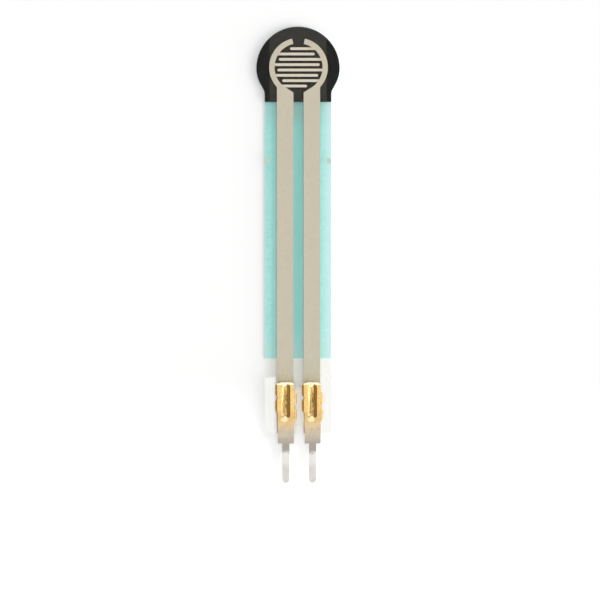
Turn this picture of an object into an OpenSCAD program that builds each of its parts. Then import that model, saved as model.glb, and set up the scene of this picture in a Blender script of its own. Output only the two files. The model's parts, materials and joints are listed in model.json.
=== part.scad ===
// Force sensing resistor: a round film sensor on a flat tail, with two crimped solder tabs.
// The head is centred on the origin, the tail runs towards -Y and the sensing face looks up.
// Z = 0 is the underside of the release liner, on which the part lies.

/* [Film outline] */
// Diameter of the round head
head_d = 7.94; // [7.6:0.02:9]
// Width of the tail
tail_w = 6.35; // [6:0.05:6.8]
// Length of the electrode film, from the top of the head to the end of the tail
film_l = 38.7; // [28:0.1:80]
// Length at the end of the tail where the electrode film is bare, for the tabs
bare_l = 7.1; // [6:0.1:10]
// Angle between the head's straight flanks and the tail
flank_angle = 29; // [24:1:36]
// How far the flanks cut inside the head's circle
flank_inset = 0.12; // [0.04:0.01:0.2]
// Radius that blends the head's circle into each flank
shoulder_r = 3; // [2:0.1:3.4]
// Radius of the hollow corner between each flank and the tail
neck_r = 0.9; // [0.4:0.05:1.4]

/* [Layer thicknesses] */
// Release liner under the adhesive
liner_t = 0.08; // [0.05:0.01:0.15]
// Rear adhesive
adhesive_t = 0.05; // [0.03:0.01:0.13]
// Base film, which carries the sensing ink
base_t = 0.1; // [0.05:0.01:0.2]
// Spacer adhesive between the two films
spacer_t = 0.05; // [0.04:0.01:0.15]
// Electrode film on top
film_t = 0.1; // [0.05:0.01:0.2]
// Black sensing ink
carbon_t = 0.015; // [0.01:0.001:0.02]
// Silver ink
silver_t = 0.015; // [0.01:0.001:0.02]

/* [Sensing area] */
// How far the black ink reaches down the neck, from the head's centre
carbon_reach = 3.2; // [2.9:0.05:5]
// Width of the open air channel in the spacer
channel_w = 5.45; // [4.8:0.05:5.8]

/* [Silver print] */
// Outer diameter of the electrode ring
ring_d = 5.588; // [5.2:0.01:6.2]
// Width of the ring's band
ring_w = 0.508; // [0.35:0.01:0.7]
// Angle that the ring leaves open at the top of the head
ring_opening = 25; // [15:1:40]
// Width of one finger
finger_w = 0.254; // [0.15:0.01:0.35]
// Gap between one finger and the next
finger_gap = 0.254; // [0.15:0.01:0.35]
// Gap between a finger's round tip and the ring
tip_gap = 0.254; // [0.15:0.01:0.4]
// Distance between the centre lines of the two traces, and of the two tabs
pitch = 2.54; // [2.3:0.01:2.8]
// Width of one trace
trace_w = 1.57; // [1.4:0.01:1.7]
// Length of the slanted funnel where the ring runs into the traces
funnel_l = 0.16; // [0.08:0.01:0.3]
// How far the print sits to the right of the die-cut outline
print_x = 0.05; // [-0.1:0.01:0.1]
// How far the print sits above the die-cut outline, towards the head
print_y = 0.09; // [-0.1:0.01:0.1]

/* [Edge marks] */
// Width of each registration mark, in from the tail's nominal edge
mark_w = 0.45; // [0.3:0.01:0.6]
// Length of each mark along the tail
mark_l = 0.48; // [0.3:0.01:1]
// Distance of the marks from the print's centre
mark_reach = 8.9; // [6:0.1:15]

/* [Solder tabs] */
// How far the tabs sit to the right of the traces that they are crimped on
tab_x = 0.06; // [-0.1:0.01:0.1]
// Thickness of the stamped sheet
metal_t = 0.2; // [0.15:0.01:0.25]
// Width of the crimp plate
plate_w = 1.52; // [1.4:0.01:1.6]
// Length of the crimp plate
plate_l = 5.8; // [5.4:0.1:6.4]
// How far the plate stands out past the end of the film
plate_overhang = 0.96; // [0.6:0.02:1.3]
// Length of the slant on the plate's two front corners
slant_l = 0.14; // [0.05:0.01:0.2]
// Width of that slant
slant_w = 0.28; // [0.1:0.01:0.35]
// Width of the solder pin
pin_w = 0.68; // [0.5:0.01:0.8]
// Length of the solder pin, from the plate to the tip
pin_l = 3.77; // [2.5:0.01:6]
// Length of the crank at the pin's root
crank_l = 0.75; // [0.5:0.05:1]
// How far the crank lowers the pin
crank_drop = 0.16; // [0.05:0.01:0.2]

/* [Crimp groove] */
// Width of the pressed groove at the top
groove_w = 0.86; // [0.7:0.01:0.95]
// Width of the groove's flat floor
groove_floor_w = 0.22; // [0.2:0.01:0.4]
// Length of the groove at the top, round ends included
groove_l = 3.42; // [3:0.01:3.8]
// Depth of the groove
groove_depth = 0.22; // [0.12:0.01:0.23]
// Distance from the plate's front edge to the groove
groove_inset = 0.1; // [0.09:0.01:0.3]
// Height of the gripping ribs on the groove's floor
rib_h = 0.05; // [0.03:0.01:0.07]
// Distance from one rib to the next
rib_pitch = 0.48; // [0.3:0.01:0.8]
// Width of the shallow dish in which the groove runs out
dish_w = 1; // [0.8:0.05:1.2]
// Depth of that dish
dish_depth = 0.08; // [0.04:0.01:0.1]

/* [Crimp wings] */
// Length of a wing where it leaves the plate
wing_l = 1.33; // [1:0.01:1.35]
// Length of a wing half-way round its fold
wing_mid_l = 0.52; // [0.4:0.01:0.9]
// Length of a wing at its tip
wing_tip_l = 0.3; // [0.2:0.01:0.6]
// Distance from one wing to the next on the same side
wing_pitch = 1.48; // [1.4:0.01:1.7]
// Distance from the plate's front edge to the first wing
wing_inset = 0.06; // [0.05:0.01:0.3]
// How far the right-hand wings sit behind the left-hand ones
wing_stagger = 0.82; // [0.5:0.01:1]

/* [Hidden] */
$fn = 96;
// Small step by which a cut runs past the face it opens
eps = 0.01;

// Heights of the stack, from the table up
adhesive_z = liner_t;
base_z = adhesive_z + adhesive_t;
carbon_z = base_z + base_t;
film_z = carbon_z + spacer_t;
silver_z = film_z - silver_t;
plate_z = film_z + film_t;
plate_top = plate_z + metal_t;

// Plan of the film, with the head's centre at the origin
head_r = head_d / 2;
tail_r = tail_w / 2;
film_end = film_l - head_r;
stack_end = film_end - bare_l;
flank_dist = head_r - flank_inset;
flank_normal = [cos(flank_angle), -sin(flank_angle)];
flank_run = [sin(flank_angle), cos(flank_angle)];
// Centre of the arc that blends the circle into the right-hand flank
shoulder_slide = sqrt(flank_inset * (head_d - flank_inset - 2 * shoulder_r));
shoulder = (flank_dist - shoulder_r) * flank_normal + shoulder_slide * flank_run;
// How far the corner that this arc replaces is cut, for the arc's radius
shoulder_clear = 1.3;
// Centre of the hollow corner on the right-hand side
hollow = [
    tail_r + neck_r,
    ((tail_r + neck_r) * cos(flank_angle) - flank_dist - neck_r) / sin(flank_angle)
];

// Silver print, about its own centre
ring_r = ring_d / 2;
ring_inner_r = ring_r - ring_w;
ring_mid_r = ring_r - ring_w / 2;
finger_pitch = finger_w + finger_gap;
// Circle on which the centres of the finger tips lie
tip_r = ring_inner_r - tip_gap - finger_w / 2;
// Share of that circle's radius within which the outermost fingers lie
finger_reach = 0.96;
// As many fingers as fit there, in pairs above and below the centre
finger_count = 2 * floor(finger_reach * tip_r / finger_pitch + 0.5);
// How much the funnel widens on each side, for its length
funnel_flare = 3.6;
trace_gap = pitch - trace_w;

// Crimp
plate_front = film_end - plate_l + plate_overhang;
groove_slope = atan(2 * groove_depth / (groove_w - groove_floor_w));
groove_run = groove_l - groove_w;
rib_count = floor((groove_run - rib_pitch / 2) / rib_pitch) + 1;
// The fold of a wing closes on the film and its silver
fold_r = (film_t + silver_t) / 2;
fold_z = plate_z - fold_r;
leg_z = silver_z - metal_t;
// Half width of the groove's form where it leaves the underside of the silver
grip_r = groove_w / 2 + (metal_t + film_t + silver_t) * tan(groove_slope / 2);

// Plan of the head between its flanks
module head_plan() {
    difference() {
        circle(r = head_r);
        both_sides() {
            flank_cut();
            shoulder_cut();
        }
    }
}

// What lies outside the right-hand flank
module flank_cut() {
    foot = flank_dist * flank_normal;
    run = head_d * flank_run;
    out = head_d * flank_normal;
    polygon([foot - run, foot - run + out, foot + run + out, foot + run]);
}

// Corner between the head's circle and a flank, outside the arc that blends them
module shoulder_cut() {
    reach = shoulder_clear * shoulder_r;
    difference() {
        polygon([
            shoulder,
            shoulder + reach * shoulder / norm(shoulder),
            shoulder + reach * flank_normal
        ]);
        translate(shoulder) circle(r = shoulder_r);
    }
}

// Plan of the tail and the neck, before the hollow corners are cut
module tail_plan() {
    right = [[tail_r, -film_end], [tail_r, hollow[1]], hollow - neck_r * flank_normal];
    left = [for (i = [2:-1:0]) [-right[i][0], right[i][1]]];
    polygon(concat(right, left));
}

module both_sides() {
    children();
    mirror([1, 0]) children();
}

// Plan of the part's outline, cut off square at a distance below the head's centre
module outline(end) {
    intersection() {
        difference() {
            union() {
                head_plan();
                tail_plan();
            }
            both_sides() translate(hollow) circle(r = neck_r);
        }
        translate([-head_d, -end]) square([2 * head_d, end + head_d]);
    }
}

module layer(z, thickness) {
    translate([0, 0, z]) linear_extrude(thickness) children();
}

// Moves plan shapes from the print's centre to where the print lies on the film
module printed() {
    translate([print_x, print_y]) children();
}

// One round-ended finger: its root lies in the ring on the side given, its tip in the gap
module finger(y, side) {
    tip_x = sqrt(tip_r * tip_r - y * y);
    root_x = sqrt(ring_mid_r * ring_mid_r - y * y);
    scale([side, 1]) {
        translate([-root_x, y - finger_w / 2]) square([root_x + tip_x, finger_w]);
        translate([tip_x, y]) circle(d = finger_w);
    }
}

// Plan of one electrode: side 1 has its trace on the left, side -1 on the right
module electrode_plan(side) {
    difference() {
        scale([side, 1]) translate([-(pitch + trace_w) / 2, -film_end - print_y])
            square([trace_w, film_end + print_y - ring_inner_r / 2]);
        circle(r = ring_inner_r);
        funnel();
    }
    difference() {
        circle(r = ring_r);
        circle(r = ring_inner_r);
        ring_cut(side);
        funnel();
    }
    for (i = [0:finger_count - 1])
        if (i % 2 == (side > 0 ? 1 : 0)) finger(((finger_count - 1) / 2 - i) * finger_pitch, side);
}

// What is taken out of the full ring to leave one electrode's half
module ring_cut(side) {
    reach = 2 * ring_r;
    half = ring_opening / 2;
    polygon([[0, 0], [-reach * tan(half), reach], [reach * tan(half), reach]]);
    scale([side, 1]) translate([0, -reach]) square([reach, 2 * reach]);
    translate([-trace_gap / 2, -reach]) square([trace_gap, reach]);
}

// Slanted mouth between the traces, where they leave the ring
module funnel() {
    mouth = trace_gap / 2 + funnel_flare * funnel_l;
    mouth_y = -sqrt(ring_inner_r * ring_inner_r - mouth * mouth);
    neck_y = -sqrt(ring_inner_r * ring_inner_r - trace_gap * trace_gap / 4) - funnel_l;
    polygon([
        [-mouth, mouth_y], [mouth, mouth_y], [trace_gap / 2, neck_y], [-trace_gap / 2, neck_y]
    ]);
}

module marks_plan() {
    intersection() {
        outline(film_end);
        printed() for (side = [-1, 1]) translate([side * tail_r, -mark_reach])
            square([2 * mark_w, mark_l], center = true);
    }
}

// Places a tab's own frame, at the middle of its plate's front edge, on the trace of one side
module at_tab(side) {
    translate([print_x + tab_x + side * pitch / 2, -plate_front, 0]) children();
}

module at_tabs() {
    for (side = [-1, 1]) at_tab(side) children();
}

// The pressed groove as a solid, grown by the layers that lie between it and the tool, up to top
module groove_form(grow, top) {
    floor_z = plate_top - groove_depth - grow;
    floor_r = groove_floor_w / 2 + grow * tan(groove_slope / 2);
    h = top - floor_z;
    top_r = floor_r + h / tan(groove_slope);
    translate([0, -groove_inset - groove_w / 2, floor_z]) {
        for (y = [0, -groove_run]) translate([0, y, 0]) cylinder(h = h, r1 = floor_r, r2 = top_r);
        rotate([90, 0, 0]) linear_extrude(groove_run)
            polygon([[-floor_r, 0], [floor_r, 0], [top_r, h], [-top_r, h]]);
    }
}

// Section of a right-hand wing: folded round the film, its leg cut to the groove's slope
module wing_section() {
    edge = plate_w / 2;
    translate([edge, fold_z]) difference() {
        circle(r = fold_r + metal_t);
        circle(r = fold_r);
        translate([-plate_w, -plate_w]) square([plate_w, 2 * plate_w]);
    }
    polygon([
        [edge, silver_z], [grip_r, silver_z],
        [grip_r - metal_t / tan(groove_slope), leg_z], [edge, leg_z]
    ]);
}

// A right-hand wing, centred on y = 0: a lobe at its fold, which narrows to the leg's tip
module wing() {
    intersection() {
        translate([0, wing_l / 2, 0]) rotate([90, 0, 0]) linear_extrude(wing_l) wing_section();
        rotate([90, 0, 90]) linear_extrude(plate_w)
            polygon([
                [-wing_l / 2, plate_top], [wing_l / 2, plate_top],
                [wing_mid_l / 2, fold_z], [wing_tip_l / 2, leg_z],
                [-wing_tip_l / 2, leg_z], [-wing_mid_l / 2, fold_z]
            ]);
    }
}

module wings() {
    first = -wing_inset - wing_l / 2;
    for (i = [0, 1]) {
        translate([0, first - i * wing_pitch, 0]) mirror([1, 0, 0]) wing();
        translate([0, first - i * wing_pitch - wing_stagger, 0]) wing();
    }
}

module plate() {
    r = plate_w / 2;
    flat = r - slant_w;
    layer(plate_z, metal_t) polygon([
        [-r, -plate_l], [r, -plate_l], [r, -slant_l], [flat, 0], [-flat, 0], [-r, -slant_l]
    ]);
}

// Shallow dish in which the groove runs out towards the pin
module dish() {
    cap_r = dish_w / 2;
    ball_r = (cap_r * cap_r + dish_depth * dish_depth) / (2 * dish_depth);
    translate([0, -groove_inset - groove_l, plate_top - dish_depth + ball_r]) sphere(r = ball_r);
}

module ribs() {
    first = -groove_inset - groove_w / 2 - (groove_run - (rib_count - 1) * rib_pitch) / 2;
    for (i = [0:rib_count - 1])
        translate([0, first - i * rib_pitch, plate_top - groove_depth]) rotate([0, 90, 0])
            cylinder(h = groove_floor_w, r = rib_h, center = true);
}

// Flat pin that leaves the plate over a small crank and ends round
module pin() {
    crank_end = -plate_l - crank_l;
    tip = -plate_l - pin_l;
    low = plate_z - crank_drop;
    intersection() {
        layer(low - metal_t, 3 * metal_t) {
            translate([-pin_w / 2, tip + pin_w / 2]) square([pin_w, pin_l]);
            translate([0, tip + pin_w / 2]) circle(d = pin_w);
        }
        rotate([90, 0, 90]) linear_extrude(pin_w, center = true)
            polygon([
                [-plate_l + eps, plate_z], [-plate_l, plate_z], [crank_end, low], [tip, low],
                [tip, low + metal_t], [crank_end, low + metal_t],
                [-plate_l, plate_top], [-plate_l + eps, plate_top]
            ]);
    }
}

module tab(side) {
    color("goldenrod") at_tab(side) {
        difference() {
            union() {
                plate();
                groove_form(metal_t, plate_z);
                pin();
            }
            groove_form(0, plate_top + eps);
            dish();
        }
        ribs();
        wings();
    }
}

// Film or silver, pressed down by the groove and pierced by the wings
module pressed(under, over) {
    difference() {
        union() {
            children();
            at_tabs() groove_form(under, plate_top - under);
        }
        at_tabs() {
            groove_form(over, plate_top - over + eps);
            wings();
        }
    }
}

module silver(side) {
    difference() {
        union() {
            layer(silver_z, silver_t) printed() electrode_plan(side);
            at_tab(-side) groove_form(metal_t + film_t + silver_t, silver_z);
        }
        at_tab(-side) {
            groove_form(metal_t + film_t, film_z + eps);
            wings();
        }
    }
}

module release_liner() {
    color("mediumaquamarine", 0.8) layer(0, liner_t) outline(stack_end);
}

module rear_adhesive() {
    color("honeydew", 0.4) layer(adhesive_z, adhesive_t) outline(stack_end);
}

module base_film() {
    color("whitesmoke", 0.3) layer(base_z, base_t) outline(stack_end);
}

module sensing_ink() {
    color([0.1, 0.1, 0.1]) layer(carbon_z, carbon_t) outline(carbon_reach);
}

module spacer_adhesive() {
    color("honeydew", 0.4) difference() {
        layer(carbon_z, spacer_t) outline(stack_end);
        layer(carbon_z - eps, spacer_t + 2 * eps) translate([-channel_w / 2, -carbon_reach])
            square([channel_w, carbon_reach + head_d]);
        layer(carbon_z - eps, carbon_t + eps) outline(carbon_reach);
        layer(silver_z, silver_t + eps) {
            printed() for (side = [-1, 1]) electrode_plan(side);
            marks_plan();
        }
    }
}

module left_electrode() {
    color([0.78, 0.75, 0.68]) silver(1);
}

module right_electrode() {
    color([0.78, 0.75, 0.68]) silver(-1);
}

module edge_marks() {
    color([0.78, 0.75, 0.68]) layer(silver_z, silver_t) marks_plan();
}

module electrode_film() {
    color("whitesmoke", 0.3) pressed(metal_t + film_t, metal_t) layer(film_z, film_t) outline(film_end);
}

module left_tab() {
    tab(-1);
}

module right_tab() {
    tab(1);
}

release_liner();
rear_adhesive();
base_film();
sensing_ink();
spacer_adhesive();
left_electrode();
right_electrode();
edge_marks();
electrode_film();
left_tab();
right_tab();
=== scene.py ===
# %% [markdown]
# # A film force sensor, dressed for its photograph
#
# The sensor is a stack of thin films with a printed electrode in it and two crimped solder tabs at
# its end. It is only about half a millimetre thick, so most of the work is in how light meets the
# films, the inks and the gold, and less in big shapes. Everything is in metres, in the frame of the
# CAD part: the head is centred on the origin, the tail runs towards -Y and the table is at Z = 0.

import json
import math

import bmesh
import bpy
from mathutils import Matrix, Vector

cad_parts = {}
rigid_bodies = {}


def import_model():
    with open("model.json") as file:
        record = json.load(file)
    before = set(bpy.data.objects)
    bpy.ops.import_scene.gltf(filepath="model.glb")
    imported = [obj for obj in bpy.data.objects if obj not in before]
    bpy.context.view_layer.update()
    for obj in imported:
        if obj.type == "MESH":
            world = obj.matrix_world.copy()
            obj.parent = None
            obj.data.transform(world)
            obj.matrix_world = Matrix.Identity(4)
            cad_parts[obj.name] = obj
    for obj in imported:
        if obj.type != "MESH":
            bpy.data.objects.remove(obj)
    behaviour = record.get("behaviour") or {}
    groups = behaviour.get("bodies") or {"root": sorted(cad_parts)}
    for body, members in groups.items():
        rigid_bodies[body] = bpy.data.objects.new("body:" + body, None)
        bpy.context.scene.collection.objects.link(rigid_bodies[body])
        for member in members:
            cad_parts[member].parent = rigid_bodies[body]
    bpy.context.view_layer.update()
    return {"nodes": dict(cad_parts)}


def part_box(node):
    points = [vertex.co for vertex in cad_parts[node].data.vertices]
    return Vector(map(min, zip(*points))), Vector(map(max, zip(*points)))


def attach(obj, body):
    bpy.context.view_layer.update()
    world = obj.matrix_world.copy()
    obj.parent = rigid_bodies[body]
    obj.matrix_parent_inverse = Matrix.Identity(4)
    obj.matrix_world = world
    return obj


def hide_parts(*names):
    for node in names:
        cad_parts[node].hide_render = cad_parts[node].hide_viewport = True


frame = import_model()
nodes = frame["nodes"]
MM = 0.001
print("nodes", sorted(nodes))

# %% [markdown]
# ## Camera
#
# The photograph looks straight down, with the tail running down the picture. A long lens high above
# the part keeps the head and the pins at one scale. The view is centred on the middle of the
# picture, which lies on the tail a little right of its centre line. Light crosses many film faces on
# its way down to the liner and back, so it is allowed more of them than Blender gives by default.

# %% Camera straight above the tail
VIEW_WIDTH = 57.08 * MM
VIEW_CENTRE = (0.19 * MM, -22.06 * MM)
LENS = 100.0
SENSOR = 36.0
FILM_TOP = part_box("electrode_film")[1].z

camera_data = bpy.data.cameras.new("overhead_camera")
camera_data.lens = LENS
camera_data.sensor_width = SENSOR
camera_data.clip_start = 0.001
camera_data.clip_end = 20.0
camera = bpy.data.objects.new("overhead_camera", camera_data)
bpy.context.scene.collection.objects.link(camera)
camera.location = (*VIEW_CENTRE, FILM_TOP + VIEW_WIDTH * LENS / SENSOR)
bpy.context.scene.camera = camera
bpy.context.scene.view_settings.view_transform = "Standard"
bpy.context.scene.cycles.transparent_max_bounces = 32
print("camera height in mm", round(camera.location.z / MM, 1))

# %% [markdown]
# ## Small helpers for materials
#
# Each finish is a handful of shader nodes. `make_node` adds one node and fills or links its inputs,
# so a material reads from top to bottom like a recipe. The other helpers wrap the few nodes that
# come back in every recipe: a mix, a sum, a soft ramp from one place to another, and noise.


# %% Nodes and mixes
def make_material(name):
    """A new material, its empty node tree and its output node."""
    material = bpy.data.materials.new(name)
    material.use_nodes = True
    material.node_tree.nodes.clear()
    output = material.node_tree.nodes.new("ShaderNodeOutputMaterial")
    return material, material.node_tree, output


def make_node(tree, kind, inputs=None, **settings):
    """Adds a node. An input is given a number or colour, or linked when it is another socket."""
    made = tree.nodes.new("ShaderNode" + kind)
    for name, value in settings.items():
        setattr(made, name, value)
    for name, value in (inputs or {}).items():
        if isinstance(value, bpy.types.NodeSocket):
            tree.links.new(value, made.inputs[name])
        else:
            made.inputs[name].default_value = value
    return made


def mix_colour(tree, share, a, b):
    """Colour a, with a share of colour b laid over it."""
    made = make_node(tree, "Mix", {"Factor": share}, data_type="RGBA")
    for socket, value in ((made.inputs[6], a), (made.inputs[7], b)):
        if isinstance(value, bpy.types.NodeSocket):
            tree.links.new(value, socket)
        else:
            socket.default_value = (*value, 1.0)
    return made.outputs[2]


def mix_shaders(tree, share, a, b):
    """Shader a, with a share of shader b laid over it."""
    return make_node(tree, "MixShader", {0: share, 1: a, 2: b}).outputs[0]


def matt_finish(tree, output, colour, roughness, specular, metallic=0.0):
    """Gives the material one Principled shader: a colour and how it shines."""
    looks = {
        "Base Color": colour,
        "Roughness": roughness,
        "Specular IOR Level": specular,
        "Metallic": metallic,
    }
    shader = make_node(tree, "BsdfPrincipled", looks).outputs[0]
    tree.links.new(shader, output.inputs["Surface"])


# %% Sums and soft ramps
def maths(tree, operation, a, b=0.0):
    return make_node(tree, "Math", {0: a, 1: b}, operation=operation).outputs[0]


def times(tree, *factors):
    """The product of all the factors, each a number or a socket."""
    product = factors[0]
    for factor in factors[1:]:
        product = maths(tree, "MULTIPLY", product, factor)
    return product


def rest_of(tree, share):
    """What a share leaves of 1."""
    return maths(tree, "SUBTRACT", 1.0, share)


def apart(tree, value, middle=0.0):
    """How far value is from middle, on either side."""
    return maths(tree, "ABSOLUTE", maths(tree, "SUBTRACT", value, middle))


def ramp_value(tree, value, start, end, low=0.0, high=1.0):
    """A smooth step: low up to start, high from end on."""
    step = make_node(
        tree,
        "MapRange",
        {"Value": value, "From Min": start, "From Max": end, "To Min": low, "To Max": high},
        interpolation_type="SMOOTHSTEP",
    )
    return step.outputs["Result"]


# %% [markdown]
# ## Places and patterns
#
# One thinks about ink and film in millimetres, so the object coordinates are scaled up first. The
# pieces sit at the origin, so a place in a material is a place on the part. Noise that is scaled
# by less than 1 along an axis is drawn out along it, as a film is by the rollers that make it.


# %% Places and noise
def in_millimetres(tree, draw_out=(1, 1, 1)):
    """Object coordinates in millimetres, drawn out along each axis that has less than 1."""
    place = make_node(tree, "TexCoord").outputs["Object"]
    scale = tuple(share / MM for share in draw_out)
    scaled = make_node(tree, "VectorMath", {0: place, 1: scale}, operation="MULTIPLY")
    return scaled.outputs["Vector"]


def axes(tree):
    """The sockets X, Y and Z of the place, in millimetres."""
    return make_node(tree, "SeparateXYZ", {0: in_millimetres(tree)}).outputs


def length_of(tree, vector):
    return make_node(tree, "VectorMath", {0: vector}, operation="LENGTH").outputs["Value"]


def noise(tree, size, draw_out=(1, 1, 1), detail=2.0, roughness=0.5):
    """Noise whose blotches are about size millimetres wide."""
    looks = {
        "Vector": in_millimetres(tree, draw_out),
        "Scale": 1 / size,
        "Detail": detail,
        "Roughness": roughness,
    }
    return make_node(tree, "TexNoise", looks).outputs[0]


def turned(tree, axis):
    """How far a face looks along an axis: 1 straight along it, -1 straight against it."""
    normal = make_node(tree, "NewGeometry").outputs["True Normal"]
    return make_node(tree, "SeparateXYZ", {0: normal}).outputs[axis]


# %% [markdown]
# ## White table
#
# The sensor lies on white paper, for which a plane is enough. Its colour is a little under white, as
# real paper's is, or the shadow on it would be too weak. Then the open paper would look pale grey, so
# it also glows very slightly. The glow is seen only by the camera and by mirror-like rays, and casts
# no light on the part. Around the pins the photograph has hardly any shadow, and the glow is
# stronger there.

# %% Paper
TABLE_SIZE = 8.0
TABLE_GAP = 0.004 * MM
PAPER_GLOW = 0.1
PINS_GLOW = 0.34
PINS_REACH = (-40.0, -29.0)

bpy.ops.mesh.primitive_plane_add(size=TABLE_SIZE, location=(0, 0, -TABLE_GAP))
table = bpy.context.object
table.name = "table"
paper, tree, output = make_material("white_paper")
grain = noise(tree, 0.6, detail=4)
white = mix_colour(tree, grain, (0.95, 0.95, 0.95), (0.965, 0.965, 0.965))
matte = make_node(tree, "BsdfDiffuse", {"Color": white}).outputs[0]
rays = make_node(tree, "LightPath").outputs
seen = maths(tree, "MAXIMUM", rays["Is Camera Ray"], rays["Is Glossy Ray"])
seen = maths(tree, "MAXIMUM", seen, rays["Is Transmission Ray"])
level = ramp_value(tree, axes(tree)["Y"], *PINS_REACH, PINS_GLOW, PAPER_GLOW)
glow = make_node(tree, "Emission", {"Strength": times(tree, seen, level)}).outputs[0]
both = make_node(tree, "AddShader", {0: matte, 1: glow}).outputs[0]
tree.links.new(both, output.inputs["Surface"])
table.data.materials.append(paper)
print("table", TABLE_SIZE, "m wide")

# %% [markdown]
# ## Light
#
# In the photograph a large soft light hangs overhead and a second one stands low on the right: the
# sensor throws a soft shadow to its left and hardly any to its right. Lamps close to the part would
# light the table unevenly, so a sky does most of it. From the top down to the table, it has:
#
# - a wide bright patch overhead, with a fainter glow round it
# - a dim ring below that, which gives the gold its contrast
# - a low band all round, strong on the right and faint elsewhere
# - in both of these a window behind the head, which the tabs' rolled front edges mirror
#
# To the camera the sky itself is plain white. A direction in the sky is a unit vector, so where a
# light starts and ends is given as parts of 1, towards the right, the rear or straight up.

# %% Sky: how bright its lights are
OVERHEAD = 0.672
MIDDLE_GLOW = 0.224
RIGHT_LIGHT = 2.24
LOW_GLOW = 0.256
REAR_WINDOW = 1.44
DIM_RING = 0.08
print("right side to overhead", round((LOW_GLOW + RIGHT_LIGHT) / OVERHEAD, 1), "to 1")

# %% Sky: where its lights are
OVERHEAD_AIM = (0.12, -0.1, 0.988)
OVERHEAD_EDGE = (0.65, 0.88)
MIDDLE_EDGE = (0.42, 0.55)
RIGHT_EDGE = (-0.4, 0.1)
BAND_TOP = (0.25, 0.5)
WINDOW_EDGE = (0.65, 0.85)
WINDOW_TOP = (0.5, 0.62)
WINDOW_FOOT = (0.3, 0.4)
print("window from", WINDOW_FOOT[0], "to", WINDOW_TOP[1], "of the way up")

# %% Sky: its lights added up
world = bpy.data.worlds.new("soft_studio")
bpy.context.scene.world = world
world.use_nodes = True
tree = world.node_tree
tree.nodes.clear()
way = make_node(tree, "TexCoord").outputs["Generated"]
towards = make_node(tree, "SeparateXYZ", {0: way}).outputs
aimed = make_node(tree, "VectorMath", {0: way, 1: OVERHEAD_AIM}, operation="DOT_PRODUCT")
overhead = ramp_value(tree, aimed.outputs["Value"], *OVERHEAD_EDGE, 0.0, OVERHEAD)
middle_glow = ramp_value(tree, towards["Z"], *MIDDLE_EDGE, 0.0, MIDDLE_GLOW)
on_right = ramp_value(tree, towards["X"], *RIGHT_EDGE, LOW_GLOW, LOW_GLOW + RIGHT_LIGHT)
low_light = times(tree, on_right, ramp_value(tree, towards["Z"], *BAND_TOP, 1.0, 0.0))
at_rear = ramp_value(tree, towards["Y"], *WINDOW_EDGE, 0.0, REAR_WINDOW)
below_top = ramp_value(tree, towards["Z"], *WINDOW_TOP, 1.0, 0.0)
above_foot = ramp_value(tree, towards["Z"], *WINDOW_FOOT)
strength = DIM_RING
for light in (overhead, middle_glow, low_light, times(tree, at_rear, below_top, above_foot)):
    strength = maths(tree, "ADD", light, strength)
to_camera = make_node(tree, "LightPath").outputs["Is Camera Ray"]
strength = maths(tree, "MAXIMUM", strength, to_camera)
sky = make_node(tree, "Background", {"Color": (1.0, 1.0, 1.0, 1.0), "Strength": strength})
make_node(tree, "OutputWorld", {"Surface": sky.outputs[0]})
print("sky of", len(tree.nodes), "nodes")

# %% [markdown]
# A sun lamp as wide as a softbox stands for the core of the low light on the right, because the
# sky's long band alone would blur the shadow away. Metal doesn't mirror the lamp: it would show
# there as a hard white spot, and the band already gives the soft streak that the photograph has.

# %% Low lamp on the right
LAMP_STRENGTH = 2.8
LAMP_WIDTH = 32.0
LAMP_HEIGHT = 10.0
LAMP_TURN = -20.0

softbox = bpy.data.lights.new("grazing_softbox", "SUN")
softbox.energy = LAMP_STRENGTH
softbox.angle = math.radians(LAMP_WIDTH)
softbox.color = (1.0, 0.99, 0.97)
lamp = bpy.data.objects.new("grazing_softbox", softbox)
bpy.context.scene.collection.objects.link(lamp)
lamp.rotation_euler = (0, math.radians(90 - LAMP_HEIGHT), math.radians(LAMP_TURN))
lamp.visible_glossy = False
print("lamp", LAMP_HEIGHT, "degrees above the table")

# %% [markdown]
# ## Copies of CAD pieces
#
# The CAD solids touch exactly, face on face. A ray tracer can't tell which of two faces in one place
# it met, and speckles them. Where a clear film lies against ink or metal, the film is therefore
# shown by a copy that is pulled in by two thousandths of a millimetre all over, which nobody can see.
# The tabs are copied too, because stamped metal never has a truly sharp edge. The other pieces are
# right as they are, and only get a finish.

# %% Copy helpers
SKIN = 0.002 * MM


def copied_mesh(node_name):
    """A bmesh of a CAD node, with its loose triangles joined into one closed skin."""
    mesh = bmesh.new()
    mesh.from_mesh(nodes[node_name].data)
    bmesh.ops.remove_doubles(mesh, verts=mesh.verts, dist=1e-4 * MM)
    bmesh.ops.recalc_face_normals(mesh, faces=mesh.faces)
    return mesh


def pull_in(mesh, depth):
    """Moves every face inwards by depth, exactly so where faces meet at right angles."""
    mesh.normal_update()
    moves = []
    for vert in mesh.verts:
        normals = []
        for face in vert.link_faces:
            if all(face.normal.dot(n) < 0.999 for n in normals):
                normals.append(face.normal.copy())
        moves.append((vert, -depth * sum(normals, Vector())))
    for vert, move in moves:
        bmesh.ops.translate(mesh, verts=[vert], vec=move)


def finished(mesh, name, material, replaced=()):
    """Turns a bmesh into a piece at the origin that rides on the part."""
    data = bpy.data.meshes.new(name)
    mesh.to_mesh(data)
    mesh.free()
    piece = bpy.data.objects.new(name, data)
    bpy.context.scene.collection.objects.link(piece)
    data.materials.append(material)
    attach(piece, "root")
    if replaced:
        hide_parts(*replaced)
    print(name, len(data.vertices), "vertices", len(data.polygons), "faces")
    return piece


def dress(node_name, material):
    """Gives a CAD node that stays its finish."""
    slots = nodes[node_name].data.materials
    slots.clear()
    slots.append(material)
    print(node_name, "wears", material.name, len(material.node_tree.nodes), "nodes")


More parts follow.
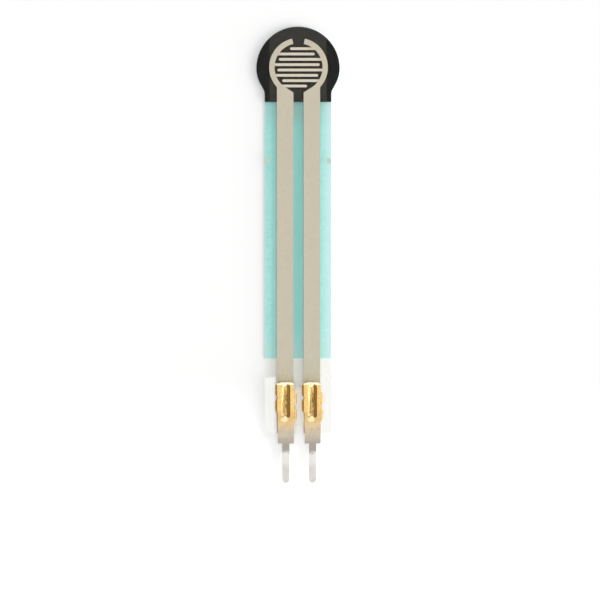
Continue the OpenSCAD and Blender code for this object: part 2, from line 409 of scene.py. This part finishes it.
# %% [markdown]
# ## Teal release liner
#
# A thin translucent film protects the adhesive on the back, and gives the tail its colour. Light
# comes to it through the clear films and between the silver traces, so its teal changes from place
# to place. Real light inside a film of 0.08 mm would take a ray tracer very long. Here one matt
# surface has those tones laid over it as soft ramps, each with its place in millimetres.

# %% Liner: the film's own teal
DEEP_TEAL = (0.37, 0.854, 0.812)
PALE_TEAL = (0.482, 0.955, 0.916)

liner, tree, output = make_material("teal_liner")
place = axes(tree)
across, along = place["X"], place["Y"]
mottling = noise(tree, 0.2, (0.5, 1, 1), detail=4, roughness=0.6)
teal = mix_colour(tree, ramp_value(tree, mottling, 0.3, 0.7), DEEP_TEAL, PALE_TEAL)

# %% [markdown]
# The strip between the traces is dark all over. The ray tracer's own shadow of the right trace only
# falls on its right part, so the left part gets more shade of its own. Just left of each trace that
# shadow would be too hard: the real liner spreads light inside itself, and its teal is stronger
# there, so a lit teal makes up for it.

# %% Liner: shade and light beside the traces
SHADED_TEAL = (0.27, 0.72, 0.67)
LIT_TEAL = (0.46, 0.98, 0.92)
STRIP_EDGE = (0.55, 0.9)
STRIP_MIDDLE = (-0.1, 0.5)
BESIDE_LEFT_TRACE = -2.1
BESIDE_RIGHT_TRACE = 0.42

between = ramp_value(tree, apart(tree, across), *STRIP_EDGE, 1.0, 0.0)
between = times(tree, between, ramp_value(tree, across, *STRIP_MIDDLE, 1.0, 0.3))
teal = mix_colour(tree, between, teal, SHADED_TEAL)
lit_left = ramp_value(tree, apart(tree, across, BESIDE_LEFT_TRACE), 0.1, 0.35, 0.8, 0.0)
lit_right = ramp_value(tree, apart(tree, across, BESIDE_RIGHT_TRACE), 0.1, 0.3, 0.35, 0.0)
teal = mix_colour(tree, maths(tree, "MAXIMUM", lit_left, lit_right), teal, LIT_TEAL)
print("lit teal at X", BESIDE_LEFT_TRACE, "and", BESIDE_RIGHT_TRACE, "mm")

# %% [markdown]
# Along the tail the teal deepens towards the black head, is shaded by it at the neck, and fades a
# little near its bare end. At the sides a paler teal is painted as the light that soaks in from the
# cut edges: far in on the right, where the low light stands, and only at the rim on the left.

# %% Liner: tones along the tail and at its edges
HEAD_TEAL = (0.29, 0.78, 0.74)
NECK_SHADE = (0.30, 0.36, 0.35)
FADED_TEAL = (0.74, 0.87, 0.85)
EDGE_LIT_TEAL = (0.80, 1.0, 1.0)
HEAD_REACH = (-16.0, -3.0)
NECK_REACH = (-6.2, -4.0)
END_REACH = (-27.5, -24.0)
RIGHT_SOAK = (2.0, 3.3)
LEFT_SOAK = (-3.15, -2.95)

near_head = ramp_value(tree, along, *HEAD_REACH, 0.0, 0.35)
teal = mix_colour(tree, near_head, teal, HEAD_TEAL)
at_neck = ramp_value(tree, along, *NECK_REACH, 0.0, 0.22)
at_neck = times(tree, at_neck, maths(tree, "ADD", between, 1.0))
teal = mix_colour(tree, at_neck, teal, NECK_SHADE)
near_end = ramp_value(tree, along, *END_REACH, 0.2, 0.0)
teal = mix_colour(tree, near_end, teal, FADED_TEAL)
# Painted light from the cut edges: a paler teal, far in on the right and only at the rim on the left.
right_edge_light = ramp_value(tree, across, *RIGHT_SOAK, 0.1, 0.7)
left_edge_light = ramp_value(tree, across, *LEFT_SOAK, 0.4, 0.0)
teal = mix_colour(tree, maths(tree, "MAXIMUM", right_edge_light, left_edge_light), teal, EDGE_LIT_TEAL)
matt_finish(tree, output, teal, roughness=0.55, specular=0.2)
dress("release_liner", liner)

# %% [markdown]
# ## Clear films
#
# Polyester this thin doesn't bend what is seen through it. Blender's glass shader would throw black
# shadows, so a transparent shader has a glossy one mixed in instead, whose share grows as the film is
# seen at a lower angle. Only a face that is met from outside shines, so that a film doesn't shine
# twice. A faint bump, drawn out along the tail, keeps the gloss from being a perfect mirror.

# %% Clear film finish
MILKY = (0.97, 0.95, 0.88, 1.0)
LOW_ANGLE_GLOSS = 0.6


def outer(tree):
    """1 where a face is met from outside, 0 from inside."""
    return rest_of(tree, make_node(tree, "NewGeometry").outputs["Backfacing"])


def clear_film(tree, tint, shine, roughness, haze, shining=1.0):
    """A clear shader; shine is its gloss seen straight on, and shining says where it has gloss."""
    through = make_node(tree, "BsdfTransparent", {"Color": tint}).outputs[0]
    milk = make_node(tree, "BsdfDiffuse", {"Color": MILKY}).outputs[0]
    body = mix_shaders(tree, haze, through, milk)
    facing = make_node(tree, "LayerWeight", {"Blend": 0.5}).outputs["Facing"]
    low_angle = times(tree, maths(tree, "POWER", facing, 5.0), LOW_ANGLE_GLOSS)
    gloss = times(tree, maths(tree, "ADD", low_angle, shine), outer(tree), shining)
    waves = noise(tree, 1.2, (1, 0.3, 1), detail=3)
    bump = make_node(tree, "Bump", {"Height": waves, "Distance": 0.01 * MM, "Strength": 0.2})
    looks = {"Roughness": roughness, "Normal": bump.outputs[0]}
    return mix_shaders(tree, gloss, body, make_node(tree, "BsdfAnisotropic", looks).outputs[0])


# %% [markdown]
# ## Bonded base film
#
# Under the inks lies the base film, with adhesive on both its sides. Once bonded, no light can tell
# the three apart, so one clear body stands for them: a copy of the base film, with its underside
# lowered to the liner and its top raised to the electrode film. Only its rim is ever seen from
# outside, so only the rim shines.

# %% Bonded base film
bonded = copied_mesh("base_film")
low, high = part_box("base_film")
BONDED_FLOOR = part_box("release_liner")[1].z
BONDED_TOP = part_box("spacer_adhesive")[1].z
middle = (low.z + high.z) / 2
bmesh.ops.dissolve_limit(
    bonded, angle_limit=math.radians(0.1), verts=bonded.verts, edges=bonded.edges
)
for verts, rise in (
    ([v for v in bonded.verts if v.co.z < middle], BONDED_FLOOR - low.z),
    ([v for v in bonded.verts if v.co.z > middle], BONDED_TOP - high.z),
):
    bmesh.ops.translate(bonded, verts=verts, vec=(0, 0, rise))
pull_in(bonded, SKIN)

bonded_clear, tree, output = make_material("bonded_film")
rim = maths(tree, "LESS_THAN", apart(tree, turned(tree, "Z")), 0.5)
whole = clear_film(tree, (1.0, 1.0, 1.0, 1.0), 0.0, 0.2, 0.0, shining=rim)
tree.links.new(whole, output.inputs["Surface"])
finished(
    bonded,
    "bonded_base_film",
    bonded_clear,
    ("base_film", "rear_adhesive", "spacer_adhesive"),
)

# %% [markdown]
# ## Electrode film
#
# The film on top is clear over most of its length. At its bare end there is no liner under it, and
# three things show: between the traces it is faintly grey, partly as painted shade of the traces,
# the gold on both sides lends it a warm glow between the tabs, and beside the crimps, where they
# bend it, a white highlight is painted on it. Cutting the film into pieces would show seams, so one
# material has all three, each in its place.

# %% Electrode film: places at its bare end
PLATE_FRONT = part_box("left_tab")[1].y / MM
LINER_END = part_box("release_liner")[0].y / MM
GAP_MIDDLE = (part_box("left_tab")[1].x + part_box("right_tab")[0].x) / 2 / MM
GAP_EDGE = (0.42, 0.56)

top_clear, tree, output = make_material("electrode_film_clear")
place = axes(tree)
across, along = place["X"], place["Y"]
bare = ramp_value(tree, along, LINER_END - 0.2, LINER_END, 1.0, 0.0)
in_gap = ramp_value(tree, apart(tree, across, GAP_MIDDLE), *GAP_EDGE, 1.0, 0.0)
in_front = ramp_value(tree, along, PLATE_FRONT - 0.9, PLATE_FRONT - 0.3)
upper = times(tree, maths(tree, "GREATER_THAN", turned(tree, "Z"), 0.5), outer(tree))
print("liner ends at Y", round(LINER_END, 2), "and the plates at", round(PLATE_FRONT, 2), "mm")

# %% Electrode film: the clear body
CLEAR_TINT = (0.99, 0.99, 0.985)
BARE_TINT = (0.985, 0.985, 0.972)
GREY_TINT = (0.95, 0.955, 0.935)

tint = mix_colour(tree, bare, CLEAR_TINT, BARE_TINT)
# Grey between the traces at the bare end: partly film haze, partly painted shade of the traces.
tint = mix_colour(tree, times(tree, in_gap, bare, in_front), tint, GREY_TINT)
clear_part = clear_film(tree, tint, shine=0.007, roughness=0.12, haze=0.003)
print("clear body:", len(tree.nodes), "nodes so far")

# %% Electrode film: warm glow between the tabs
GOLD_LIGHT = (1.0, 0.92, 0.76, 1.0)
GLOW_SHARE = 0.45

glow_end = ramp_value(tree, along, PLATE_FRONT - 4.4, PLATE_FRONT - 3.6)
glowing = times(tree, in_gap, rest_of(tree, in_front), glow_end, GLOW_SHARE, upper)
soft_part = make_node(tree, "BsdfDiffuse", {"Color": GOLD_LIGHT}).outputs[0]
mirror = make_node(tree, "BsdfAnisotropic", {"Color": GOLD_LIGHT, "Roughness": 0.35})
warm = mix_shaders(tree, 0.75, soft_part, mirror.outputs[0])
clear_part = mix_shaders(tree, glowing, clear_part, warm)
print("middle of the gap at X", round(GAP_MIDDLE, 3), "mm")

# %% [markdown]
# Where the crimps bend the film it catches the light and looks white. From the crimps out to the
# film's edges this is a painted highlight, in streaks along the tail: a white that scatters some
# light back and some onward. Here a wide glare lies over most of it, which under the soft sky comes
# nearer to the photograph.

# %% Electrode film: painted highlight beside the crimps
HIGHLIGHT_WHITE = (0.98, 0.98, 0.97, 1.0)
GLARE = (1.0, 1.0, 0.965, 1.0)
GLARE_SHARE = 0.9
BESIDE_CRIMPS = (2.0, 2.35)

# Painted highlight: white beside the crimps, where they bend the film.
beside = ramp_value(tree, apart(tree, across), *BESIDE_CRIMPS)
crimped = ramp_value(tree, along, PLATE_FRONT + 0.35, PLATE_FRONT + 0.6, 1.0, 0.0)
streaks = noise(tree, 0.35, (1, 0.05, 1), detail=3)
uneven = ramp_value(tree, streaks, 0.3, 0.6, 0.82, 1.0)
crimp_highlight = times(tree, beside, crimped, uneven, upper)
back = make_node(tree, "BsdfDiffuse", {"Color": HIGHLIGHT_WHITE}).outputs[0]
onward = make_node(tree, "BsdfTranslucent", {"Color": HIGHLIGHT_WHITE}).outputs[0]
glare = make_node(tree, "BsdfAnisotropic", {"Color": GLARE, "Roughness": 0.3}).outputs[0]
painted_highlight = mix_shaders(tree, GLARE_SHARE, mix_shaders(tree, 0.5, back, onward), glare)
tree.links.new(mix_shaders(tree, crimp_highlight, clear_part, painted_highlight), output.inputs["Surface"])
print("electrode_film_clear has", len(tree.nodes), "nodes")

# %% Electrode film: the piece
top_film = copied_mesh("electrode_film")
pull_in(top_film, SKIN)
finished(top_film, "top_film", top_clear, ("electrode_film",))

# %% [markdown]
# ## Black sensing ink
#
# Carbon ink is screen printed on the base film. Down both sides the spacer adhesive wets it and it
# looks deep black. In the open channel in the middle it lies under air and looks a shade greyer.
# Between the silver fingers, the light that they throw back makes it a little brown. A single black
# would hide all this, so three tones are mixed by place.

# %% Carbon ink
CHANNEL_EDGE = (2.62, 2.82)
FINGERS_EDGE = (2.0, 2.3)
WARMED_INK = (0.033, 0.025, 0.015)

carbon, tree, output = make_material("carbon_ink")
speckle = noise(tree, 0.18, detail=5, roughness=0.65)
wet = mix_colour(tree, speckle, (0.004, 0.004, 0.004), (0.009, 0.009, 0.0085))
dry = mix_colour(tree, speckle, (0.026, 0.024, 0.022), (0.05, 0.046, 0.042))
in_channel = ramp_value(tree, apart(tree, axes(tree)["X"]), *CHANNEL_EDGE, 1.0, 0.0)
shade = mix_colour(tree, in_channel, wet, dry)
from_centre = length_of(tree, in_millimetres(tree))
warmed = ramp_value(tree, from_centre, *FINGERS_EDGE, 0.85, 0.0)
shade = mix_colour(tree, warmed, shade, WARMED_INK)
matt_finish(tree, output, shade, roughness=0.7, specular=0.1)
dress("sensing_ink", carbon)

# %% [markdown]
# ## Silver ink
#
# Silver flakes in a binder look like warm grey paint with a dull sheen. The grain is a fine noise,
# and broader bands run along the traces as the print does. The fingers are printed over the open
# channel and look paler. The last bit before each plate is darker and browner: the crimp has scuffed
# and stained it, and the plate's shade is painted there as well.

# %% Silver ink
DULL_FLAKES = (0.658, 0.604, 0.477)
BRIGHT_FLAKES = (0.738, 0.684, 0.553)
ROSY_BAND = (0.735, 0.653, 0.523)
PALE_FINGERS = (0.84, 0.80, 0.69)
STAINED_SHADED_SILVER = (0.65, 0.53, 0.355)
FINGERS_REACH = (1.95, 2.3)

silver, tree, output = make_material("silver_ink")
flakes = ramp_value(tree, noise(tree, 0.17, detail=3, roughness=0.65), 0.3, 0.7)
tone = mix_colour(tree, flakes, DULL_FLAKES, BRIGHT_FLAKES)
bands = noise(tree, 0.7, (1, 0.15, 1), detail=2)
tone = mix_colour(tree, times(tree, bands, 0.4), tone, ROSY_BAND)
from_centre = length_of(tree, in_millimetres(tree))
on_fingers = ramp_value(tree, from_centre, *FINGERS_REACH, 0.7, 0.0)
tone = mix_colour(tree, on_fingers, tone, PALE_FINGERS)
# Stains and painted shade in front of each plate.
near_crimp = ramp_value(tree, axes(tree)["Y"], PLATE_FRONT + 0.1, PLATE_FRONT + 0.9, 1.0, 0.0)
stains = noise(tree, 0.2, (1, 0.6, 1), detail=4, roughness=0.6)
scuffs = ramp_value(tree, stains, 0.38, 0.6, 0.15, 1.0)
tone = mix_colour(tree, times(tree, near_crimp, scuffs), tone, STAINED_SHADED_SILVER)
matt_finish(tree, output, tone, roughness=0.6, specular=0.3, metallic=0.15)
for node_name in ("left_electrode", "right_electrode"):
    dress(node_name, silver)

# %% [markdown]
# The two registration marks at the tail's edges are from the same print, but so thin that the teal
# shows through. Their tone lies between the silver's and the liner's.

# %% Registration marks
marks, tree, output = make_material("thin_silver_ink")
thin = noise(tree, 0.12, detail=4, roughness=0.65)
tone = mix_colour(tree, thin, (0.54, 0.73, 0.63), (0.66, 0.79, 0.68))
matt_finish(tree, output, tone, roughness=0.6, specular=0.3)
dress("edge_marks", marks)

# %% [markdown]
# ## Solder tabs
#
# Each tab is stamped from thin bronze strip. Its crimp is gold plated and its pin is dipped in tin,
# and the two run into each other behind the groove. Two materials would leave a hard line there, so
# one metal changes its colour and roughness along Y. Its places are measured from each tab's own
# middle line, so that both tabs are worn in the same spots.

# %% Tabs: places on them
GROOVE_DEPTH = 0.22
GROOVE_REACH = 3.52
GOLD_FADE = (-34.4, -32.6)

tab_boxes = [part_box("left_tab"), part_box("right_tab")]
MIDDLES = [(low.x + high.x) / 2 / MM for low, high in tab_boxes]
GROOVE_FLOOR = tab_boxes[0][1].z / MM - GROOVE_DEPTH
GROOVE_REAR = PLATE_FRONT - GROOVE_REACH

tab_metal, tree, output = make_material("tab_metal")
place = axes(tree)
along, height = place["Y"], place["Z"]
from_gap = maths(tree, "SUBTRACT", place["X"], sum(MIDDLES) / 2)
own_side = times(tree, maths(tree, "SIGN", from_gap), (MIDDLES[1] - MIDDLES[0]) / 2)
off_line = maths(tree, "SUBTRACT", from_gap, own_side)
drift = noise(tree, 0.5, detail=2)
uneven_line = maths(tree, "ADD", along, times(tree, drift, 0.9))
golden = ramp_value(tree, uneven_line, *GOLD_FADE)
print("middles of the tabs at X", [round(middle, 3) for middle in MIDDLES], "mm")

# %% [markdown]
# The gold isn't even: it has fine pits, patches where it is rubbed down and spots that are
# polished. Walls that face left look away from the low light and are browner. Walls that face
# right catch it, and a plain gold would blow out there, so they are toned down.

# %% Tabs: gold plating
PITTED_GOLD = (0.98, 0.56, 0.15)
BRIGHT_GOLD = (1.0, 0.74, 0.32)
RUBBED_GOLD = (0.95, 0.54, 0.15)
POLISHED_GOLD = (1.0, 0.82, 0.46)
SHADY_GOLD = (0.98, 0.56, 0.145)
SUNNY_GOLD = (0.92, 0.67, 0.31)

pits = noise(tree, 0.06, detail=5, roughness=0.7)
gold = mix_colour(tree, pits, PITTED_GOLD, BRIGHT_GOLD)
patches = noise(tree, 0.3, (1, 0.5, 1), detail=3)
rubbed = ramp_value(tree, patches, 0.42, 0.62, 0.0, 0.6)
gold = mix_colour(tree, rubbed, gold, RUBBED_GOLD)
polished = ramp_value(tree, noise(tree, 0.22, detail=3), 0.5, 0.66, 0.0, 0.6)
gold = mix_colour(tree, polished, gold, POLISHED_GOLD)
facing_right = turned(tree, "X")
shady = ramp_value(tree, facing_right, -0.5, -0.2, 1.0, 0.0)
gold = mix_colour(tree, shady, gold, SHADY_GOLD)
sunny = ramp_value(tree, facing_right, 0.3, 0.5, 0.0, 0.7)
gold = mix_colour(tree, sunny, gold, SUNNY_GOLD)
print("gold plating:", len(tree.nodes), "nodes so far")

# %% [markdown]
# The groove's floor is painted dark brown in blots, less in its front end: painted shade in the
# recess, with some dirt in it. Along the outline of the tab the shears have cut through the plating,
# and the steep edges show bare bronze.

# %% Tabs: painted shade in the groove, and sheared edges
FLOOR_LEFT = (-0.09, -0.05)
FLOOR_RIGHT = (0.11, 0.14)
FLOOR_FRONT = (-31.0, -30.5)
DARK_SHADE_DIRT = (0.32, 0.17, 0.045)
THIN_SHADE_DIRT = (0.72, 0.46, 0.17)
BARE_BRONZE = (0.42, 0.25, 0.10)

# Painted shade in the groove's recess, with some dirt, in blots.
right_of_left = ramp_value(tree, off_line, *FLOOR_LEFT)
left_of_right = ramp_value(tree, off_line, *FLOOR_RIGHT, 1.0, 0.0)
deep_down = ramp_value(tree, height, GROOVE_FLOOR + 0.05, GROOVE_FLOOR + 0.07, 1.0, 0.0)
less_at_front = ramp_value(tree, along, *FLOOR_FRONT, 0.95, 0.19)
shade_and_dirt = times(tree, right_of_left, left_of_right, deep_down, less_at_front)
blots = ramp_value(tree, noise(tree, 0.22, (1, 0.7, 1), detail=3), 0.38, 0.62)
gold = mix_colour(tree, shade_and_dirt, gold, mix_colour(tree, blots, DARK_SHADE_DIRT, THIN_SHADE_DIRT))
steepness = apart(tree, turned(tree, "Z"))
sheared = ramp_value(tree, steepness, 0.3, 0.75, 0.85, 0.0)
gold = mix_colour(tree, sheared, gold, BARE_BRONZE)
print("groove floor at Z", round(GROOVE_FLOOR, 3), "mm, its rear end at Y", round(GROOVE_REAR, 2))

# %% [markdown]
# Tin is warm grey and cloudy on the plate, darker at the pin's root, where shade is painted on the
# bend, and bright on the pin, where it was dipped. Towards the pin's tip it is patchy again.

# %% Tabs: tin
PIN_ROOT = (-36.0, -34.7)
DIPPED_LINE = (-36.2, -35.9)
PIN_TIP = (-38.0, -37.3)
CLOUDY_TIN = (0.50, 0.46, 0.38)
ROOT_SHADE_TIN = (0.46, 0.43, 0.37)

tin = mix_colour(tree, pits, (0.685, 0.575, 0.445), (0.815, 0.70, 0.56))
cloudy = ramp_value(tree, noise(tree, 0.24, detail=4), 0.38, 0.66, 0.0, 0.5)
tin = mix_colour(tree, cloudy, tin, CLOUDY_TIN)
# Painted shade on the bend at the pin's root.
root_shade = ramp_value(tree, along, *PIN_ROOT, 1.0, 0.0)
tin = mix_colour(tree, root_shade, tin, ROOT_SHADE_TIN)
bright_tin = mix_colour(tree, patches, (0.88, 0.87, 0.80), (0.98, 0.97, 0.92))
tip_tin = mix_colour(tree, patches, (0.68, 0.665, 0.61), (0.93, 0.915, 0.85))
dipped_tin = mix_colour(tree, ramp_value(tree, along, *PIN_TIP), tip_tin, bright_tin)
dipped = ramp_value(tree, uneven_line, *DIPPED_LINE, 1.0, 0.0)
tin = mix_colour(tree, dipped, tin, dipped_tin)
print("with the tin:", len(tree.nodes), "nodes so far")

# %% [markdown]
# Where the plating thins out it has tarnished. Three places on each plate are painted a pale gold as
# highlights: an oval at each end of the groove, and the front lip, which the crimping tool rolled
# down. They are the brightest spots of the photograph's gold.

# %% Tabs: tarnish and painted highlights
TARNISH_MIDDLE = -33.2
TARNISHED = (0.66, 0.46, 0.22)
HIGHLIGHT_GOLD = (1.0, 0.87, 0.52)
LIP_HIGHLIGHT_GOLD = (1.0, 0.96, 0.68)


def oval(tree, centre, size):
    """A soft oval on each plate; centre and half size are across and along it, in millimetres."""
    sideways = maths(tree, "DIVIDE", maths(tree, "SUBTRACT", off_line, centre[0]), size[0])
    lengthways = maths(tree, "DIVIDE", maths(tree, "SUBTRACT", along, centre[1]), size[1])
    away = make_node(tree, "CombineXYZ", {0: sideways, 1: lengthways}).outputs[0]
    return ramp_value(tree, length_of(tree, away), 0.5, 1.15, 1.0, 0.0)


skin = mix_colour(tree, golden, tin, gold)
tarnish = ramp_value(tree, apart(tree, along, TARNISH_MIDDLE), 0.15, 0.75, 0.45, 0.0)
skin = mix_colour(tree, times(tree, tarnish, rest_of(tree, sunny)), skin, TARNISHED)
# Painted highlights: pale gold ovals at both ends of the groove.
front_highlight = oval(tree, (-0.1, PLATE_FRONT - 0.2), (0.4, 0.28))
rear_highlight = oval(tree, (-0.12, GROOVE_REAR - 0.02), (0.4, 0.28))
skin = mix_colour(tree, maths(tree, "MAXIMUM", front_highlight, rear_highlight), skin, HIGHLIGHT_GOLD)
# Painted highlight on the rolled front lip.
lip_highlight = ramp_value(tree, along, PLATE_FRONT - 0.26, PLATE_FRONT - 0.2)
skin = mix_colour(tree, lip_highlight, skin, LIP_HIGHLIGHT_GOLD)
print("burnished lip from Y", round(PLATE_FRONT - 0.26, 2), "mm")

# %% [markdown]
# Stamped metal is never quite flat, and gold shows it more than anything. The dents are bump, since
# they are far too shallow to model. So is the slope of the rolled lip, which has to catch the window
# behind the head. Gold is smoother than tin, so the roughness fades along with the colour.

# %% Tabs: dents, the rolled lip and the metal
LIP_LINE = PLATE_FRONT - 0.24
LIP_SLOPE = 38.0

dents = noise(tree, 0.2, (1, 0.5, 1), detail=4)
past_line = maths(tree, "MAXIMUM", maths(tree, "SUBTRACT", along, LIP_LINE), 0.0)
relief = maths(tree, "SUBTRACT", dents, times(tree, past_line, LIP_SLOPE))
bump = make_node(tree, "Bump", {"Height": relief, "Distance": 0.02 * MM, "Strength": 0.8})
metal_looks = {
    "Base Color": skin,
    "Metallic": 1.0,
    "Roughness": ramp_value(tree, golden, 0.0, 1.0, 0.42, 0.22),
    "Normal": bump.outputs[0],
}
metal = make_node(tree, "BsdfPrincipled", metal_looks).outputs[0]
tree.links.new(metal, output.inputs["Surface"])
print("tab_metal has", len(tree.nodes), "nodes")

# %% [markdown]
# ## Rounded tabs
#
# A stamped edge is never sharp, and the thin lines of light along rounded edges are what tells the
# eye that this is metal. A bevel on copies of the CAD tabs gives them. Three kinds of edge get a
# radius of their own: the plate's front edge, which the tool rolled down, the groove's rims, and all
# other sharp edges. They are told apart by how sharply the surface turns, the front edge also by its
# place.

# %% Rounded tabs
FRONT_ROUND = 0.08 * MM
RIM_ROUND = 0.06 * MM
EDGE_ROUND = 0.025 * MM
FRONT_STRIP = 0.2 * MM


def round_edges(mesh, turn_from, turn_to, radius, where=None):
    """Rounds every edge at which the surface turns by an angle between the two, in degrees."""
    low, high = math.radians(turn_from), math.radians(turn_to)
    chosen = [e for e in mesh.edges if e.is_manifold and low < e.calc_face_angle(0) < high]
    if where:
        chosen = [e for e in chosen if all(where(v.co) for v in e.verts)]
    bmesh.ops.bevel(
        mesh,
        geom=chosen,
        offset=radius,
        offset_type="OFFSET",
        affect="EDGES",
        segments=3,
        profile=0.5,
        material=-1,
        clamp_overlap=True,
    )
    return len(chosen)


for side in ("left", "right"):
    tab = copied_mesh(side + "_tab")
    bmesh.ops.dissolve_limit(
        tab, angle_limit=math.radians(0.5), verts=tab.verts, edges=tab.edges
    )
    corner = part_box(side + "_tab")[1]
    top, front = corner.z - SKIN, corner.y - FRONT_STRIP
    lip = round_edges(tab, 80, 100, FRONT_ROUND, lambda co: co.z > top and co.y > front)
    rims = round_edges(tab, 32, 45, RIM_ROUND)
    edges = round_edges(tab, 50, 180, EDGE_ROUND)
    print(side, "tab: lip", lip, "rims", rims, "edges", edges)
    for face in tab.faces:
        face.smooth = True
    piece = finished(tab, side + "_crimp_tab", tab_metal, (side + "_tab",))
    flat_faces = piece.modifiers.new("flat_faces", "WEIGHTED_NORMAL")
    flat_faces.weight = 80
